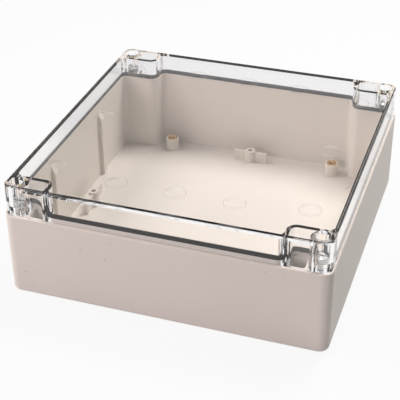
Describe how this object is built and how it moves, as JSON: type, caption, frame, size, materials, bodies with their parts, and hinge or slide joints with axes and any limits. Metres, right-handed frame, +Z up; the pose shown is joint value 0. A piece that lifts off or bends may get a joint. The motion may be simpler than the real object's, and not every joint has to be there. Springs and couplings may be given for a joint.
{
  "type": "plastic enclosure with clear lid",
  "caption": "Square moulded plastic enclosure with a clear screw-down lid, a gasket, corner wells for wall mounting and threaded board posts inside.",
  "frame": {"origin": "middle of the base's underside", "axes": "+Z up through the lid, +X to the right along the front, -Y towards the front"},
  "size_m": [0.16, 0.16, 0.061],
  "materials": {
    "base_plastic": "fine spark-eroded texture, warm light grey",
    "clear_plastic": "polished, clear",
    "seal_rubber": "matt black",
    "screw_steel": "plain stainless",
    "insert_brass": "turned"
  },
  "bodies": {
    "base": {"base_tub": "base_plastic", "tower_insert_front_left": "insert_brass", "tower_insert_front_right": "insert_brass", "tower_insert_rear_left": "insert_brass", "tower_insert_rear_right": "insert_brass", "post_insert_front_left": "insert_brass", "post_insert_front_right": "insert_brass", "post_insert_rear_left": "insert_brass", "post_insert_rear_right": "insert_brass"},
    "lid": {"clear_lid": "clear_plastic", "lid_gasket": "seal_rubber"},
    "screw_front_left": {"lid_screw_front_left": "screw_steel"},
    "screw_front_right": {"lid_screw_front_right": "screw_steel"},
    "screw_rear_left": {"lid_screw_rear_left": "screw_steel"},
    "screw_rear_right": {"lid_screw_rear_right": "screw_steel"}
  },
  "joints": [
    {"name": "lid_lift", "type": "slide", "parent": "base", "child": "lid", "axis": [0, 0, 1], "range_m": [0, 0.06]},
    {"name": "screw_front_left_turn", "type": "hinge", "parent": "lid", "child": "screw_front_left", "pos_m": [-0.0735, -0.0735, 0.05], "axis": [0, 0, 1], "continuous": true},
    {"name": "screw_front_right_turn", "type": "hinge", "parent": "lid", "child": "screw_front_right", "pos_m": [0.0735, -0.0735, 0.05], "axis": [0, 0, 1], "continuous": true},
    {"name": "screw_rear_left_turn", "type": "hinge", "parent": "lid", "child": "screw_rear_left", "pos_m": [-0.0735, 0.0735, 0.05], "axis": [0, 0, 1], "continuous": true},
    {"name": "screw_rear_right_turn", "type": "hinge", "parent": "lid", "child": "screw_rear_right", "pos_m": [0.0735, 0.0735, 0.05], "axis": [0, 0, 1], "continuous": true}
  ]
}
